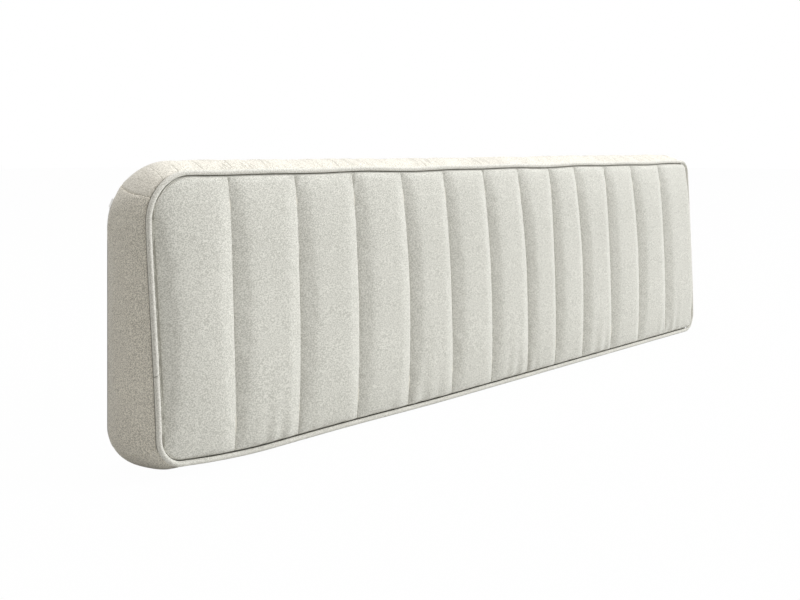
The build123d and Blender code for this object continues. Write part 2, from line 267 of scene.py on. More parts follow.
def mixed_colour(tree, share, first, second):
    """First where share is 0 and second where it is 1; each is a colour or a socket."""
    mix = tree.nodes.new("ShaderNodeMix")
    mix.data_type = "RGBA"
    link(tree, share, mix.inputs["Factor"])
    for socket, colour in ((mix.inputs[6], first), (mix.inputs[7], second)):
        if isinstance(colour, tuple):
            socket.default_value = (*colour, 1)
        else:
            link(tree, colour, socket)
    return mix.outputs[2]


def new_group(name, given, put):
    """A node group; given and put pair the names of its inputs and outputs with their kinds."""
    tree = bpy.data.node_groups.new(name, "ShaderNodeTree")
    for way, sockets in (("INPUT", given), ("OUTPUT", put)):
        for label, kind in sockets:
            tree.interface.new_socket(label, in_out=way, socket_type=f"NodeSocket{kind}")
    given_node = tree.nodes.new("NodeGroupInput")
    put_node = tree.nodes.new("NodeGroupOutput")
    return tree, given_node.outputs, put_node.inputs


def add_group(tree, group, values):
    """Uses a node group with its inputs set to values, and returns its outputs."""
    node = tree.nodes.new("ShaderNodeGroup")
    node.node_tree = group
    set_inputs(node, values)
    return node.outputs


# Grain of the heathered cloth: scales to the metre, and shares of its colours
THREAD_LENGTH = 4.0
THREAD_SCALE = 850.0
HEATHER_SCALE = 560.0
CLOUD_SCALE = 9.0
THREAD_SHARE = 0.55
YARN_RANGE = 0.048
CLOUD_SHARE = 0.25
DARK_SHARE = 0.8
CLOTH_BUMP, CLOTH_RELIEF = 0.35, 0.0008


def heather_group():
    """Heathered slub cloth: a colour mixed from dark and light yarn, and the height of the yarn."""
    tree, given, put = new_group(
        "heathered cloth",
        (("Light Yarn", "Color"), ("Dark Yarn", "Color"), ("Dark Share", "Float")),
        (("Color", "Color"), ("Height", "Float")),
    )
    place = object_place(tree)
    runs = ((THREAD_LENGTH, 1, 1), (1, 1, THREAD_LENGTH), (1, THREAD_LENGTH, 1))
    along, upright, inwards = (noise_at(tree, place, THREAD_SCALE, run) for run in runs)
    heather = noise_at(tree, place, HEATHER_SCALE, (1.4, 1.2, 1), 4.0)
    cloud = noise_at(tree, place, CLOUD_SCALE, (1, 1, 1), 3.0)
    threads = math_node(tree, "ADD", math_node(tree, "ADD", along, upright), inwards)
    threads = math_node(tree, "MULTIPLY", threads, 1 / 3)
    blend = math_node(tree, "ADD", math_node(tree, "MULTIPLY", threads, THREAD_SHARE), heather)
    blend = math_node(tree, "MULTIPLY", blend, 1 / (1 + THREAD_SHARE))
    yarn = remapped(tree, blend, 0.5 - YARN_RANGE, 0.5 + YARN_RANGE)
    dark = math_node(tree, "MULTIPLY", yarn, given["Dark Share"])
    shift = math_node(tree, "MULTIPLY", math_node(tree, "SUBTRACT", cloud, 0.5), CLOUD_SHARE)
    dark = math_node(tree, "ADD", dark, shift)
    link(tree, mixed_colour(tree, dark, given["Light Yarn"], given["Dark Yarn"]), put["Color"])
    link(tree, threads, put["Height"])
    return tree


HEATHER = heather_group()

# Drag creases: their slant in degrees, and the noise values between which clusters of them grow
CREASE_SLANT = 8
# How strongly painted shade darkens the colour in the hollows of the creases
PAINTED_CREASE_SHADE = 0.35
CREASE_SCALE, CREASE_LENGTH, CREASE_WIDTH = 55.0, 8.0, 0.05
CREASE_CLUSTERS = (0.42, 0.60)
LEAST_CREASE = 0.25
CREASE_RELIEF = 0.004


def crease_group():
    """Fine drag creases in clusters, slanting across the top of the boxing, with painted shade in their
    hollows.
    """
    outputs = (("Height", "Float"), ("Shade", "Float"))
    tree, given, put = new_group("drag creases with painted shade", (("Amount", "Float"),), outputs)
    place = object_place(tree)
    turned = tree.nodes.new("ShaderNodeMapping")
    turned.inputs["Rotation"].default_value = (0, 0, radians(CREASE_SLANT))
    link(tree, place, turned.inputs["Vector"])
    stretch = (1, CREASE_LENGTH, CREASE_LENGTH)
    line = noise_at(tree, turned.outputs[0], CREASE_SCALE, stretch, 1.0)
    away = math_node(tree, "ABSOLUTE", math_node(tree, "SUBTRACT", line, 0.5))
    crease = remapped(tree, away, 0.0, CREASE_WIDTH)
    cluster = noise_at(tree, place, CLOUD_SCALE, (1, 1, 1), 0.0)
    patch = remapped(tree, cluster, *CREASE_CLUSTERS, LEAST_CREASE)
    deep = math_node(tree, "MULTIPLY", math_node(tree, "SUBTRACT", crease, 1.0), patch)
    link(tree, math_node(tree, "MULTIPLY", deep, given["Amount"]), put["Height"])
    link(tree, math_node(tree, "MULTIPLY", deep, -PAINTED_CREASE_SHADE), put["Shade"])
    return tree


CREASES = crease_group()


def material_tree(name):
    material = bpy.data.materials.new(name)
    material.use_nodes = True
    tree = material.node_tree
    return material, tree, tree.nodes["Principled BSDF"]


def add_relief(tree, shader, height, strength, distance, under=None):
    relief = tree.nodes.new("ShaderNodeBump")
    set_inputs(relief, {"Strength": strength, "Distance": distance})
    link(tree, height, relief.inputs["Height"])
    if under:
        link(tree, under, relief.inputs["Normal"])
    link(tree, relief.outputs[0], shader.inputs["Normal"])
    return relief.outputs[0]


def cloth(name, light, dark, creases=0.0):
    """An upholstery cloth from the heather group, with a soft sheen; its creases add relief and painted
    shade.
    """
    material, tree, shader = material_tree(name)
    yarns = {"Light Yarn": (*light, 1), "Dark Yarn": (*dark, 1), "Dark Share": DARK_SHARE}
    heather = add_group(tree, HEATHER, yarns)
    colour = heather["Color"]
    weave = add_relief(tree, shader, heather["Height"], CLOTH_BUMP, CLOTH_RELIEF)
    if creases:
        folds = add_group(tree, CREASES, {"Amount": 1.0})
        add_relief(tree, shader, folds["Height"], creases, CREASE_RELIEF, weave)
        # Painted shade: the colour darkens towards the dark yarn in the hollows of the creases
        colour = mixed_colour(tree, folds["Shade"], colour, dark)
    link(tree, colour, shader.inputs["Base Color"])
    set_inputs(shader, {"Roughness": 0.9, "Sheen Weight": 0.2, "Sheen Roughness": 0.5})
    return material


def weave_group():
    """Plain weave: two sets of crossing threads, its colour lighter and darker with their crossings and
    drifting in soft blotches.
    """
    outputs = (("Height", "Float"), ("Shade", "Float"))
    tree, given, put = new_group("plain weave", (("Threads", "Float"),), outputs)
    place = object_place(tree)
    split = tree.nodes.new("ShaderNodeSeparateXYZ")
    link(tree, place, split.inputs[0])
    waves = []
    for axis in ("X", "Z"):
        turns = math_node(tree, "MULTIPLY", split.outputs[axis], given["Threads"])
        waves.append(math_node(tree, "SINE", turns))
    crossed = math_node(tree, "MULTIPLY", *waves)
    uneven = noise_at(tree, place, 300.0, (1, 1, 1), 2.0)
    link(tree, math_node(tree, "ADD", crossed, uneven), put["Height"])
    shade = math_node(tree, "MULTIPLY_ADD", crossed, 0.12)
    shade.node.inputs[2].default_value = 0.5
    drift = math_node(tree, "MULTIPLY", noise_at(tree, place, 14.0, (1, 1, 1), 3.0), 0.3)
    link(tree, math_node(tree, "ADD", shade, drift), put["Shade"])
    return tree


WEAVE = weave_group()


def woven(name, light, dark, threads, bump=0.4, sheen=0.1, roughness=0.85):
    """A plain woven cloth or tape; threads is how often they cross, in radians to the metre."""
    material, tree, shader = material_tree(name)
    weave = add_group(tree, WEAVE, {"Threads": threads})
    link(tree, mixed_colour(tree, weave["Shade"], dark, light), shader.inputs["Base Color"])
    add_relief(tree, shader, weave["Height"], bump, 0.0004)
    set_inputs(shader, {"Roughness": roughness, "Sheen Weight": sheen})
    return material


def grained(name, light, dark, scale, stretch, bump, distance, roughness, metallic=0.0):
    """A finish whose colour and relief follow one noise: foam, wood, wadding, nylon or metal."""
    material, tree, shader = material_tree(name)
    grain = noise_at(tree, object_place(tree), scale, stretch, 4.0)
    colour = mixed_colour(tree, remapped(tree, grain, 0.35, 0.65), dark, light)
    link(tree, colour, shader.inputs["Base Color"])
    rough = remapped(tree, grain, 0.0, 1.0, roughness * 0.85, min(1.0, roughness * 1.15))
    link(tree, rough, shader.inputs["Roughness"])
    add_relief(tree, shader, grain, bump, distance)
    shader.inputs["Metallic"].default_value = metallic
    return material


COVER_CLOTH = cloth("greige heathered cloth", (0.78, 0.77, 0.715), (0.46, 0.455, 0.41))
BAND_CLOTH = cloth("greige boxing cloth", (0.88, 0.84, 0.745), (0.40, 0.375, 0.325))
TOP_CLOTH = cloth(
    "greige boxing cloth, creased", (0.90, 0.865, 0.785), (0.50, 0.475, 0.415), creases=0.5
)
# A darker copy of the boxing cloth: painted shade deep in the ditch beside the piping
PAINTED_DITCH_SHADE_CLOTH = cloth("greige cloth with painted shade deep in a seam", (0.34, 0.33, 0.30), (0.22, 0.21, 0.19))
# A darker copy of the cover cloth: painted shade where the panel runs in under the piping
PAINTED_EDGE_SHADE_CLOTH = cloth(
    "greige cloth with painted shade at the edge of the panel", (0.50, 0.485, 0.44), (0.34, 0.33, 0.295)
)
PIPING_CLOTH = cloth("greige piping cloth", (0.82, 0.805, 0.75), (0.54, 0.53, 0.48))
BACK_FABRIC = woven("off-white backing cloth", (0.74, 0.72, 0.66), (0.60, 0.585, 0.53), 4200.0)
LINING = woven("calico lining", (0.80, 0.77, 0.68), (0.66, 0.63, 0.55), 5200.0)
ZIP_TAPE = woven("white zip tape", (0.84, 0.83, 0.79), (0.66, 0.65, 0.61), 7600.0, 0.5, 0.05, 0.7)
THREAD = woven("greige sewing thread", (0.72, 0.70, 0.63), (0.52, 0.50, 0.44), 9000.0)
COIL_NYLON = grained(
    "white nylon coil", (0.90, 0.89, 0.86), (0.80, 0.79, 0.75), 300.0, (1, 1, 1), 0.05, 0.0001, 0.35
)
ZIP_METAL = grained(
    "nickel-plated zinc", (0.70, 0.69, 0.67), (0.52, 0.51, 0.49), 500.0, (4, 1, 1), 0.08, 0.0001, 0.3, 1.0
)
FOAM = grained(
    "cream upholstery foam", (0.84, 0.77, 0.55), (0.66, 0.58, 0.38), 900.0, (1, 1, 1), 0.6, 0.0008, 0.95
)
WADDING = grained(
    "white polyester wadding", (0.90, 0.90, 0.88), (0.78, 0.78, 0.76), 260.0, (5, 1, 2), 0.7, 0.0015, 0.98
)
PLYWOOD = grained(
    "birch plywood", (0.76, 0.60, 0.40), (0.58, 0.42, 0.25), 90.0, (14, 1, 1), 0.15, 0.0004, 0.6
)
CORD_FIBRE = grained(
    "white cord fibre", (0.86, 0.85, 0.80), (0.68, 0.67, 0.62), 1500.0, (1, 1, 1), 0.5, 0.0004, 0.95
)
LOOP_TAPE = grained(
    "white loop tape", (0.93, 0.925, 0.90), (0.76, 0.755, 0.73), 1400.0, (1, 1, 2), 0.8, 0.0008, 0.95
)


# Front panel before it is filled

COLUMN_GAP = 0.0075
SEAM_COLUMNS = (0.0, 0.0016, 0.0042, 0.0085)
EDGE_ROWS = (0.0014, 0.0033)


def column_places(left, right):
    """Places across one channel, close together beside its seams."""
    inner_left, inner_right = left + SEAM_COLUMNS[-1], right - SEAM_COLUMNS[-1]
    count = max(2, round((inner_right - inner_left) / COLUMN_GAP))
    middle = [inner_left + (inner_right - inner_left) * i / count for i in range(1, count)]
    near_left = [left + gap for gap in SEAM_COLUMNS]
    near_right = [right - gap for gap in reversed(SEAM_COLUMNS)]
    return near_left + middle + near_right


def corner_cut(x, radius):
    """How much height a rounded corner of the seam takes off the front panel at x."""
    into_corner = abs(x) - (HALF_LENGTH - radius)
    if into_corner <= 0:
        return 0
    inner = radius - PANEL_INSET
    return inner - sqrt(max(0, inner**2 - into_corner**2))


def panel_reach(x):
    """The lowest and highest place of the front panel at x, inside its rounded corners."""
    low_left, low_right, high_right, high_left = FRONT_CORNERS
    low_cut = corner_cut(x, low_left if x < 0 else low_right)
    high_cut = corner_cut(x, high_left if x < 0 else high_right)
    return PANEL_INSET + low_cut, SEAM_HEIGHT - PANEL_INSET - high_cut


def row_shares(count):
    """Shares up the panel, closer together near both ends, with a few right beside each end."""
    even = [(i / count) * 0.75 + 0.25 * (1 - cos(pi * i / count)) / 2 for i in range(1, count)]
    near = [gap / SEAM_HEIGHT for gap in EDGE_ROWS]
    return [0, *near, *even, *(1 - gap for gap in reversed(near)), 1]


def crown_at(height):
    share = min(1, max(0, height / SEAM_HEIGHT))
    return FRONT_CROWN * 2 * sqrt(share * (1 - share))


RIGHT_CROWN_RUN = 0.03


def crown_along(x):
    """Less crown towards both ends, where the panel runs into the corners."""
    to_end = max(0, HALF_LENGTH - PANEL_INSET - abs(x))
    run = RIGHT_CROWN_RUN if x > 0 else CHANNEL_EDGES[1] - CHANNEL_EDGES[0]
    share = min(1, to_end / run)
    return sqrt(1 - (1 - share) ** 2)


class Sheet:
    """A grid of points that is simulated as one cloth and then cut into pieces."""

    def __init__(self, columns, rows):
        self.columns, self.rows = columns, rows
        self.points = []

    def index(self, column, row):
        return column * self.rows + row


ROW_SHARES = row_shares(70)
COLUMN_PLACES = []
CHANNEL_COLUMNS = []
for left, right in zip(CHANNEL_EDGES, CHANNEL_EDGES[1:]):
    first = max(0, len(COLUMN_PLACES) - 1)
    places = column_places(left, right)
    COLUMN_PLACES += places if not COLUMN_PLACES else places[1:]
    CHANNEL_COLUMNS.append((first, len(COLUMN_PLACES) - 1))
SEAM_SET = {last for first, last in CHANNEL_COLUMNS[:-1]}

# Each seam's sideways wander at its foot, middle and head, in metres
SEAM_WANDER = (
    (0.000, -0.002, 0.000),
    (-0.005, 0.001, 0.004),
    (-0.004, 0.002, 0.002),
    (-0.003, 0.004, -0.003),
    (0.002, 0.002, -0.004),
    (0.001, 0.003, -0.005),
    (0.005, 0.006, -0.006),
    (-0.002, 0.000, 0.002),
    (0.001, 0.006, -0.005),
    (0.000, 0.001, 0.000),
    (0.000, 0.006, -0.005),
    (0.000, 0.002, -0.001),
)


def wander(seam, share):
    """How far a channel seam strays along the headboard at a share of its height."""
    foot, middle, head = SEAM_WANDER[seam]
    if share < 0.5:
        return foot + (middle - foot) * smoothstep(0, 0.5, share)
    return middle + (head - middle) * smoothstep(0.5, 1, share)


def strayed(channel, x, share):
    """x moved with the seams on both sides of its channel."""
    left, right = CHANNEL_EDGES[channel], CHANNEL_EDGES[channel + 1]
    across = (x - left) / (right - left)
    stray_left = wander(channel - 1, share) if channel > 0 else 0
    stray_right = wander(channel, share) if channel < len(CHANNELS) - 1 else 0
    return x + stray_left + (stray_right - stray_left) * across


def front_sheet():
    sheet = Sheet(len(COLUMN_PLACES), len(ROW_SHARES))
    channel = 0
    for column, x in enumerate(COLUMN_PLACES):
        while column > CHANNEL_COLUMNS[channel][1]:
            channel += 1
        left, right = CHANNEL_EDGES[channel], CHANNEL_EDGES[channel + 1]
        across = (x - left) / (right - left)
        low, high = panel_reach(x)
        for share in ROW_SHARES:
            height = low + (high - low) * share
            crown = crown_at(height) * crown_along(x)
            seam = column in SEAM_SET
            bulge = (1 - abs(2 * across - 1) ** BULGE_FLATNESS) ** SEAM_ROUNDNESS
            rise = START_BULGE * bulge * min(1, crown / FRONT_CROWN + LEAST_FULLNESS)
            to_edge = min(height - low, high - height, HALF_LENGTH - PANEL_INSET - abs(x))
            full = SEAM_OUT + crown + (0 if seam else rise)
            out = EDGE_OUT + (full - EDGE_OUT) * smoothstep(0, EDGE_ROLL, to_edge)
            place, settled_height = settled(strayed(channel, x, share), height)
            sheet.points.append(on_front(place, settled_height, out + puckers(x, height, low, high)))
    return sheet


def puckers(x, height, low, high):
    """Small gathers where the channels run into the piping, and soft folds above the foot."""
    below_head, above_foot = high - height, height - low
    gather = sin(2 * pi * (x + 0.45 * below_head) / GATHER_PITCH + 3 * sin(x * 23))
    strength = 0.5 + 0.5 * sin(x * 11.0 + 2.0)
    fade = exp(-below_head / GATHER_REACH) * min(1, below_head / 0.004)
    head = GATHER_DEPTH * gather * strength * fade
    fold = sin(2 * pi * x / FOLD_PITCH + 2.5 * sin(x * 9.0))
    patch = max(0, sin(x * 17.0 + 0.7))
    fade = exp(-above_foot / FOLD_REACH) * min(1, above_foot / 0.008)
    return head + FOLD_DEPTH * fold * patch * fade


START_BULGE = 0.0110
BULGE_FLATNESS = 4
SEAM_ROUNDNESS = 0.7
LEAST_FULLNESS = 0.15
GATHER_PITCH, GATHER_DEPTH, GATHER_REACH = 0.017, 0.0020, 0.022
FOLD_PITCH, FOLD_DEPTH, FOLD_REACH = 0.043, 0.0028, 0.06

# Filling: the pressure, how much the cloth grows, and the most that a point may move in metres
FILL_FRAMES = 16
FRONT_FILL = (1.5, 0.004, 0.0015)
BOXING_FILL = (1.0, 0.012, 0.005)


def fill_cloth(name, sheet, faces, pinned, pressure, growth, most_move):
    """Blows the sheet up as cloth held at the pinned points, and returns where its points end."""
    piece = new_piece(name, sheet.points, faces, COVER_CLOTH)
    mesh = piece.data
    group = piece.vertex_groups.new(name="pinned")
    group.add(sorted(pinned), 1.0, "REPLACE")
    only(piece)
    modifier = piece.modifiers.new("Cloth", "CLOTH")
    settings = modifier.settings
    settings.quality = 6
    settings.mass = 0.3
    settings.tension_stiffness = 15
    settings.compression_stiffness = 15
    settings.shear_stiffness = 4
    settings.bending_stiffness = 0.4
    settings.use_pressure = True
    settings.uniform_pressure_force = pressure
    settings.shrink_min = -growth
    settings.vertex_group_mass = "pinned"
    settings.effector_weights.gravity = 0
    modifier.collision_settings.use_collision = False
    modifier.point_cache.frame_start = 1
    modifier.point_cache.frame_end = FILL_FRAMES
    for step in range(1, FILL_FRAMES + 1):
        bpy.context.scene.frame_set(step)
    shaped = piece.evaluated_get(bpy.context.evaluated_depsgraph_get())
    ends = []
    for start, vertex in zip(sheet.points, shaped.data.vertices):
        move = vertex.co - start
        if move.length > most_move:
            move = move * (most_move / move.length)
        ends.append(start + move)
    bpy.context.scene.frame_set(1)
    bpy.data.objects.remove(piece)
    bpy.data.meshes.remove(mesh)
    return ends


def dome_back(x, height):
    """The back of a channel, lifted by the dome of the lining."""
    along = max(0, HALF_LENGTH - DOME_INSET - abs(x)) / CROWN_RUN_ALONG
    to_head = max(0, SEAM_HEIGHT - DOME_INSET - height)
    up = min(max(0, height - DOME_INSET), to_head) / CROWN_RUN_UP
    share = min(1, along, up)
    dome = FRONT_CROWN * sqrt(1 - (1 - share) ** 2)
    return max(-PANEL_BACK, dome - DOME_SETBACK)


def pad_faces(columns, rows):
    """Faces of a closed pad: a front grid, a back grid behind it and the edge between them."""
    front = grid_faces(columns, rows)
    behind = columns * rows
    faces = front + [tuple(behind + i for i in reversed(quad)) for quad in front]
    last, top = (columns - 1) * rows, rows - 1
    for row in range(rows - 1):
        a, b = row, last + row
        faces.append((a, a + 1, behind + a + 1, behind + a))
        faces.append((b + 1, b, behind + b, behind + b + 1))
    for column in range(columns - 1):
        a, b = column * rows, (column + 1) * rows
        faces.append((b, a, behind + a, behind + b))
        faces.append((a + top, b + top, behind + b + top, behind + a + top))
    return faces


# Columns of the first channel beside the piping, whose faces get a painted shade
PAINTED_SHADE_COLUMNS = 2


def make_channels():
    sheet = front_sheet()
    pinned = set()
    for column in range(sheet.columns):
        for row in range(sheet.rows):
            ends = row in (0, sheet.rows - 1) or column in (0, sheet.columns - 1)
            if ends or column in SEAM_SET:
                pinned.add(sheet.index(column, row))
    faces = grid_faces(sheet.columns, sheet.rows)
    filled = fill_cloth("front", sheet, faces, pinned, *FRONT_FILL)
    for channel, name in enumerate(CHANNELS):
        first, last = CHANNEL_COLUMNS[channel]
        points = filled[sheet.index(first, 0) : sheet.index(last + 1, 0)]
        for column in range(first, last + 1):
            low, high = panel_reach(COLUMN_PLACES[column])
            for row in range(sheet.rows):
                height = low + (high - low) * ROW_SHARES[row]
                x = sheet.points[sheet.index(column, row)].x
                out = dome_back(COLUMN_PLACES[column], height)
                points.append(on_front(x, settled(x, height)[1], out))
        faces = pad_faces(last - first + 1, sheet.rows)
        piece = new_piece(f"{name}_pad", points, faces, COVER_CLOTH)
        # The outer columns of the first channel get the darker cloth: painted shade beside the piping
        if channel == 0:
            use_second_material(piece, PAINTED_EDGE_SHADE_CLOTH, range(PAINTED_SHADE_COLUMNS * (sheet.rows - 1)))
        recalculate_normals(piece)
        apply_modifier(piece, "SUBSURF", levels=1, render_levels=1)
        smooth(piece, 50)
        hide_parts(name)
        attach(piece, "cushion")


# Boxing

# At the zip's top end the teeth stand out past the seam and the flap gapes, as the photograph shows
ZIP_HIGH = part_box("zip_coil_outer")[1][2] - SEAM_BOTTOM
ZIP_STRAY = 0.0046
ZIP_GAPE = 0.0038
RIGHT_TOP_SWELL = 0.004

BOTTOM_STEPS = 200
SIDE_STEPS = 40
CORNER_STEPS = 16
CROSS_SEAM_STEPS = 10
BESIDE_CROSS_SEAM = 0.0018

# Rows of the boxing from the back seam towards the piping
DEPTH_SHARES = (*(0, 0.012, 0.035, 0.075), *(0.13 + 0.74 * i / 12 for i in range(13)), 0.925)
BACK_TUCK = 0.0012

# The ditch beside the piping, where the boxing turns in: each row's depth share and draw-in
DITCH_ROWS = ((0.955, 0.0), (0.971, 0.0004), (0.972, 0.0048), (0.986, 0.0080), (1.0, 0.0086))
BACK_ROWS_PINNED, FRONT_ROWS_PINNED = 2, 4
TOP_TUCK_SHARE = 0.2


def corner_turns(radius, upright_reach, upright_first):
    """Angles round a corner: even steps up to its cross seam, one close to it on each side, and on."""
    seam = asin(min(0.97, max(0.1, 1 - upright_reach / radius)))
    if not upright_first:
        seam = pi / 2 - seam
    steps = CORNER_STEPS - CROSS_SEAM_STEPS if upright_first else CROSS_SEAM_STEPS
    near, far = seam - BESIDE_CROSS_SEAM / radius, seam + BESIDE_CROSS_SEAM / radius
    before = [near * i / (steps - 1) for i in range(steps)]
    steps_after = CORNER_STEPS - steps - 1
    after = [far + (pi / 2 - far) * i / steps_after for i in range(steps_after)]
    return [*before, seam, *after]


def outline_points(left, right, low, high, radii, above_foot, below_head):
    """Points round the outline, anticlockwise from the left end of its bottom run."""
    low_left, low_right, high_right, high_left = radii
    corners = (
        ((left + low_left, low), (right - low_right, low), low_right, above_foot),
        ((right, low + low_right), (right, high - high_right), high_right, below_head),
        ((right - high_right, high), (left + high_left, high), high_left, below_head),
        ((left, high - high_left), (left, low + low_left), low_left, above_foot),
    )
    points = []
    for quarter, (start, end, radius, reach) in enumerate(corners):
        turn = (quarter - 1) * pi / 2
        upright = quarter in (1, 3)
        steps = SIDE_STEPS if upright else BOTTOM_STEPS
        for i in range(steps):
            points.append(tuple(mixed(ends, i / steps) for ends in zip(start, end)))
        centre = (end[0] - radius * cos(turn), end[1] - radius * sin(turn))
        for angle in corner_turns(radius, reach, upright):
            angle += turn
            points.append((centre[0] + radius * cos(angle), centre[1] + radius * sin(angle)))
    return points


def mixed(ends, share):
    return ends[0] + (ends[1] - ends[0]) * share


def leaning_point(depth_share, x, height):
    """A point in the plane that leans more the nearer it is to the front."""
    depth = (BACK - FRONT) - PIPING_RADIUS
    lean = LEAN * depth_share
    y = BACK - depth * depth_share + height * sin(lean)
    return Vector((x, y, SEAM_BOTTOM + height * cos(lean)))


def at_zip_end(x, height):
    """1 at the zip's top end, in the upper left corner of the back, and 0 away from it."""
    if x > 0:
        return 0
    up = height - ZIP_HIGH
    return smoothstep(-0.016, -0.009, up) * (1 - smoothstep(0.008, 0.016, up))


def more_rise(x, height):
    """How much higher the top swells towards the right end."""
    return RIGHT_TOP_SWELL * smoothstep(-0.2, 0.7, x) * smoothstep(0.42, 0.50, height)


def boxing_sheet():
    """The boxing from the back seam to the piping, all the way round."""
    rings = []
    rows = [(share, BACK_TUCK * (1 - smoothstep(0, 0.03, share))) for share in DEPTH_SHARES]
    for share, tuck in (*rows, *DITCH_ROWS):
        swell = 4 * share * (1 - share)
        flat_swell = 1 - (2 * share - 1) ** 4
        end_swell = END_SWELL * swell
        ring = outline_points(
            tuck - HALF_LENGTH - end_swell,
            HALF_LENGTH + end_swell - tuck,
            tuck - BOTTOM_SWELL * flat_swell,
            SEAM_HEIGHT + TOP_SWELL * swell - tuck * TOP_TUCK_SHARE,
            [mixed(ends, share) + end_swell for ends in zip(BACK_CORNERS, FRONT_CORNERS)],
            mixed(CROSS_SEAM_ABOVE_BOTTOM, share),
            mixed(CROSS_SEAM_BELOW_TOP, share) + TOP_SWELL * swell,
        )
        gape = ZIP_GAPE * (1 - smoothstep(0, 0.10, share))
        places = []
        for x, height in ring:
            raised = height + swell * more_rise(x, height)
            place = settled(x + gape * at_zip_end(x, height), raised, share)
            places.append(leaning_point(share, *place))
        rings.append(places)
    sheet = Sheet(len(rings[0]), len(rings))
    sheet.points = [ring[column] for column in range(sheet.columns) for ring in rings]
    return sheet


BOXING_CLOTH = 0.0018


def boxing_parts(columns):
    """First and last column of each strip, from one cross seam to the next."""
    side = SIDE_STEPS + 2 * CORNER_STEPS
    lower_right = BOTTOM_STEPS + CROSS_SEAM_STEPS
    upper_right = BOTTOM_STEPS + side - CROSS_SEAM_STEPS
    upper_left = 2 * BOTTOM_STEPS + side + CROSS_SEAM_STEPS
    lower_left = 2 * BOTTOM_STEPS + 2 * side - CROSS_SEAM_STEPS
    return {
        "boxing_right": (lower_right, upper_right),
        "boxing_top": (upper_right, upper_left),
        "boxing_left": (upper_left, lower_left),
        "boxing_bottom": (lower_left, columns + lower_right),
    }


CROSS_SEAM_DIP = 0.0014
CROSS_SEAM_RIDGE = 0.0004
WADDING_BEHIND = 0.0042
WADDING_THICKNESS = 0.004
WADDING_ROWS = range(3, len(DEPTH_SHARES) - 1)

# Rows of the boxing beside the piping, deep in its ditch, whose faces get a painted shade
PAINTED_SHADE_ROWS = 3

# Thickness is added to a sheet on its inner side
OFFSET_INWARDS = -1


def inward(sheet, points, column, row):
    """The direction into the cushion from a point of the boxing."""
    before = points[sheet.index((column - 1) % sheet.columns, row)]
    after = points[sheet.index((column + 1) % sheet.columns, row)]
    behind = points[sheet.index(column, max(row - 1, 0))]
    ahead = points[sheet.index(column, min(row + 1, sheet.rows - 1))]
    return (ahead - behind).cross(after - before).normalized()


def above_floor(place):
    return Vector((place.x, place.y, max(0.0, place.z)))


def make_boxing():
    sheet = boxing_sheet()
    edges = (*range(BACK_ROWS_PINNED), *range(sheet.rows - FRONT_ROWS_PINNED, sheet.rows))
    pinned = {sheet.index(column, row) for column in range(sheet.columns) for row in edges}
    faces = grid_faces(sheet.columns, sheet.rows, closed=True)
    filled = fill_cloth("boxing", sheet, faces, pinned, *BOXING_FILL)
    for name, (first, last) in boxing_parts(sheet.columns).items():
        dips = {first: CROSS_SEAM_DIP, last: CROSS_SEAM_DIP}
        dips |= {first + 1: -CROSS_SEAM_RIDGE, last - 1: -CROSS_SEAM_RIDGE}
        points = []
        for column in range(first, last + 1):
            here = column % sheet.columns
            for row in range(sheet.rows):
                dip = inward(sheet, filled, here, row) * dips.get(column, 0)
                points.append(above_floor(filled[sheet.index(here, row)] + dip))
        faces = grid_faces(last - first + 1, sheet.rows)
        material = TOP_CLOTH if name == "boxing_top" else BAND_CLOTH
        piece = new_piece(f"{name}_cover", points, faces, material)
        steps = sheet.rows - 1
        # The ditch rows get the darker cloth: painted shade in the seam
        ditch = [index for index in range(len(faces)) if index % steps >= steps - PAINTED_SHADE_ROWS]
        use_second_material(piece, PAINTED_DITCH_SHADE_CLOTH, ditch)
        apply_modifier(piece, "SUBSURF", levels=1, render_levels=1)
        apply_modifier(piece, "SOLIDIFY", thickness=BOXING_CLOTH, offset=OFFSET_INWARDS)
        smooth(piece, 50)
        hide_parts(name)
        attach(piece, "cushion")
    make_wadding(sheet, filled)


def make_wadding(sheet, filled):
    """The wadding under the boxing: one band that follows the boxing a little way in."""
    points = []
    for column in range(sheet.columns):
        for row in WADDING_ROWS:
            place = above_floor(filled[sheet.index(column, row)])
            points.append(place + inward(sheet, filled, column, row) * WADDING_BEHIND)
    faces = grid_faces(sheet.columns, len(WADDING_ROWS), closed=True)
    piece = new_piece("wadding_wrap_layer", points, faces, WADDING)
    apply_modifier(piece, "SOLIDIFY", thickness=WADDING_THICKNESS, offset=OFFSET_INWARDS)
    smooth(piece, 50)
    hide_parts("wadding_wrap")
    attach(piece, "cushion")


# Piping

PIPING_SIDES = 14

# The piping's ends butt together on the left side
JOIN_HEIGHT = 0.172
JOIN_SLANT = 0.5
JOIN_GAP = 0.0008
JOIN_STEPS = (JOIN_GAP, 0.0012, 0.003, 0.006)
JOIN_CLEAR = 0.008
JOIN_TAPER = (0.84, 0.96, 1.0, 1.0)

# Drawn tight by its stitching, the piping is a little thinner than the pocket that it lies in
TIGHT_RADIUS = 0.0047
CORD_RADIUS = 0.0034


def piping_line():
    """Places along the piping, from just below its join, once round, to just above it."""
    reaches = CROSS_SEAM_ABOVE_BOTTOM[1], CROSS_SEAM_BELOW_TOP[1]
    ring = outline_points(-HALF_LENGTH, HALF_LENGTH, 0, SEAM_HEIGHT, FRONT_CORNERS, *reaches)
    left_side = [p for p in ring if p[0] == -HALF_LENGTH and p[1] > FRONT_CORNERS[0]]
    upper = [p for p in left_side if p[1] > JOIN_HEIGHT + JOIN_CLEAR]
    lower = [p for p in left_side if p[1] < JOIN_HEIGHT - JOIN_CLEAR]
    start = ring.index(lower[0])
    end = ring.index(upper[-1])
    above = [(-HALF_LENGTH, JOIN_HEIGHT + step) for step in reversed(JOIN_STEPS)]
    below = [(-HALF_LENGTH, JOIN_HEIGHT - step) for step in JOIN_STEPS]
    return below + ring[start:] + ring[: end + 1] + above


